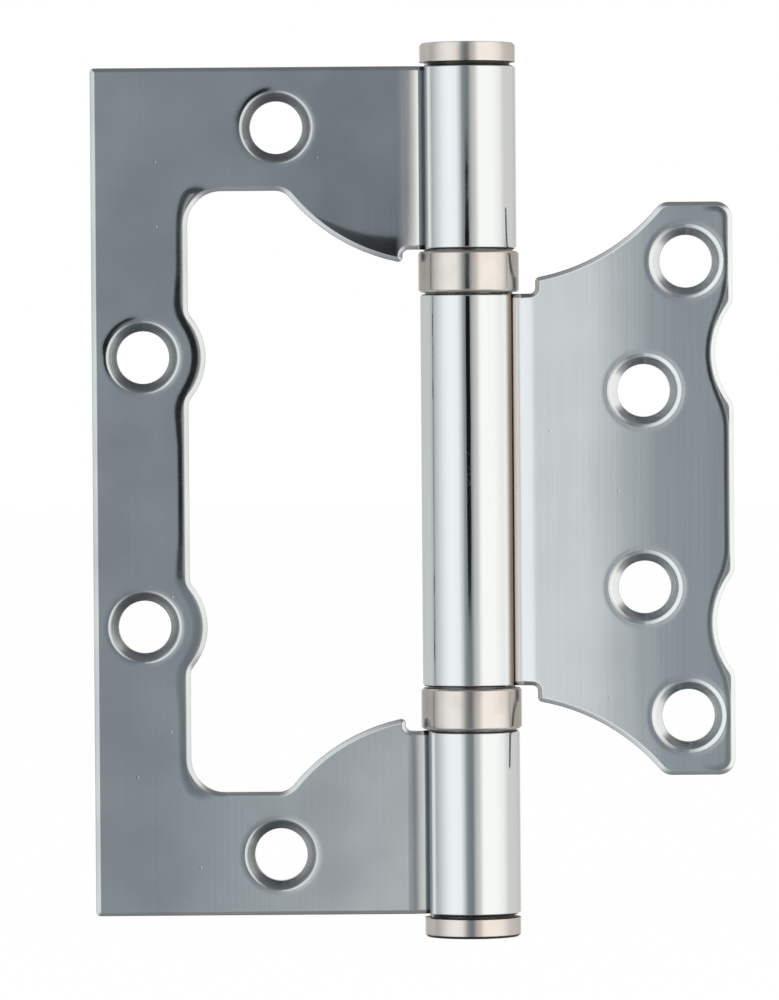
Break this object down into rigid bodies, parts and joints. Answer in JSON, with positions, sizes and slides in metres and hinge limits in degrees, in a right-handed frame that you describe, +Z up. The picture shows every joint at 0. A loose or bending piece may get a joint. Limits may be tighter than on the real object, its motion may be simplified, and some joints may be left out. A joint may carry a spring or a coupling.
{
  "type": "non-mortise hinge",
  "caption": "Non-mortise door hinge: the inner leaf folds into the window of the outer leaf, with knuckles rolled from the sheet, ball-bearing rings, button caps and countersunk holes.",
  "frame": {"origin": "on the outer leaf's mounting face, midway between its two end screw holes", "axes": "+Z up along the pin, +X from the outer leaf towards the inner leaf, +Y out of the mounting faces, away from the screw heads; the hinge lies open flat"},
  "size_m": [0.0756, 0.0119, 0.1054],
  "materials": {
    "outer_leaf_chrome": "chrome plated, bright rolled knuckles and lightly brushed flat leaf",
    "inner_leaf_chrome": "chrome plated, bright rolled knuckle and satin brushed flat leaf",
    "cap_nickel": "satin nickel plated, turned",
    "ring_nickel": "satin nickel plated, turned",
    "pin_steel": "ground steel",
    "race_steel": "ground steel",
    "ball_steel": "polished steel"
  },
  "bodies": {
    "outer": {"outer_leaf": "outer_leaf_chrome", "pin": "pin_steel", "upper_cap": "cap_nickel", "lower_cap": "cap_nickel", "upper_bearing_shell": "ring_nickel", "lower_bearing_shell": "ring_nickel", "upper_bearing_fixed_race": "race_steel", "lower_bearing_fixed_race": "race_steel"},
    "inner": {"inner_leaf": "inner_leaf_chrome", "upper_bearing_turning_race": "race_steel", "lower_bearing_turning_race": "race_steel"},
    "upper_balls": {"upper_ball_01": "ball_steel", "upper_ball_02": "ball_steel", "upper_ball_03": "ball_steel", "upper_ball_04": "ball_steel", "upper_ball_05": "ball_steel", "upper_ball_06": "ball_steel", "upper_ball_07": "ball_steel", "upper_ball_08": "ball_steel", "upper_ball_09": "ball_steel", "upper_ball_10": "ball_steel", "upper_ball_11": "ball_steel", "upper_ball_12": "ball_steel"},
    "lower_balls": {"lower_ball_01": "ball_steel", "lower_ball_02": "ball_steel", "lower_ball_03": "ball_steel", "lower_ball_04": "ball_steel", "lower_ball_05": "ball_steel", "lower_ball_06": "ball_steel", "lower_ball_07": "ball_steel", "lower_ball_08": "ball_steel", "lower_ball_09": "ball_steel", "lower_ball_10": "ball_steel", "lower_ball_11": "ball_steel", "lower_ball_12": "ball_steel"}
  },
  "joints": [
    {"name": "leaf_swing", "type": "hinge", "parent": "outer", "child": "inner", "pos_m": [0.0226, -0.00125, 0], "axis": [0, 0, 1], "continuous": true},
    {"name": "upper_balls_roll", "type": "hinge", "parent": "outer", "child": "upper_balls", "pos_m": [0.0226, -0.00125, 0.02575], "axis": [0, 0, 1], "continuous": true},
    {"name": "lower_balls_roll", "type": "hinge", "parent": "outer", "child": "lower_balls", "pos_m": [0.0226, -0.00125, -0.02575], "axis": [0, 0, 1], "continuous": true}
  ],
  "couplings": [
    {"joint": "upper_balls_roll", "follows": "leaf_swing", "ratio": 0.5},
    {"joint": "lower_balls_roll", "follows": "leaf_swing", "ratio": 0.5}
  ]
}
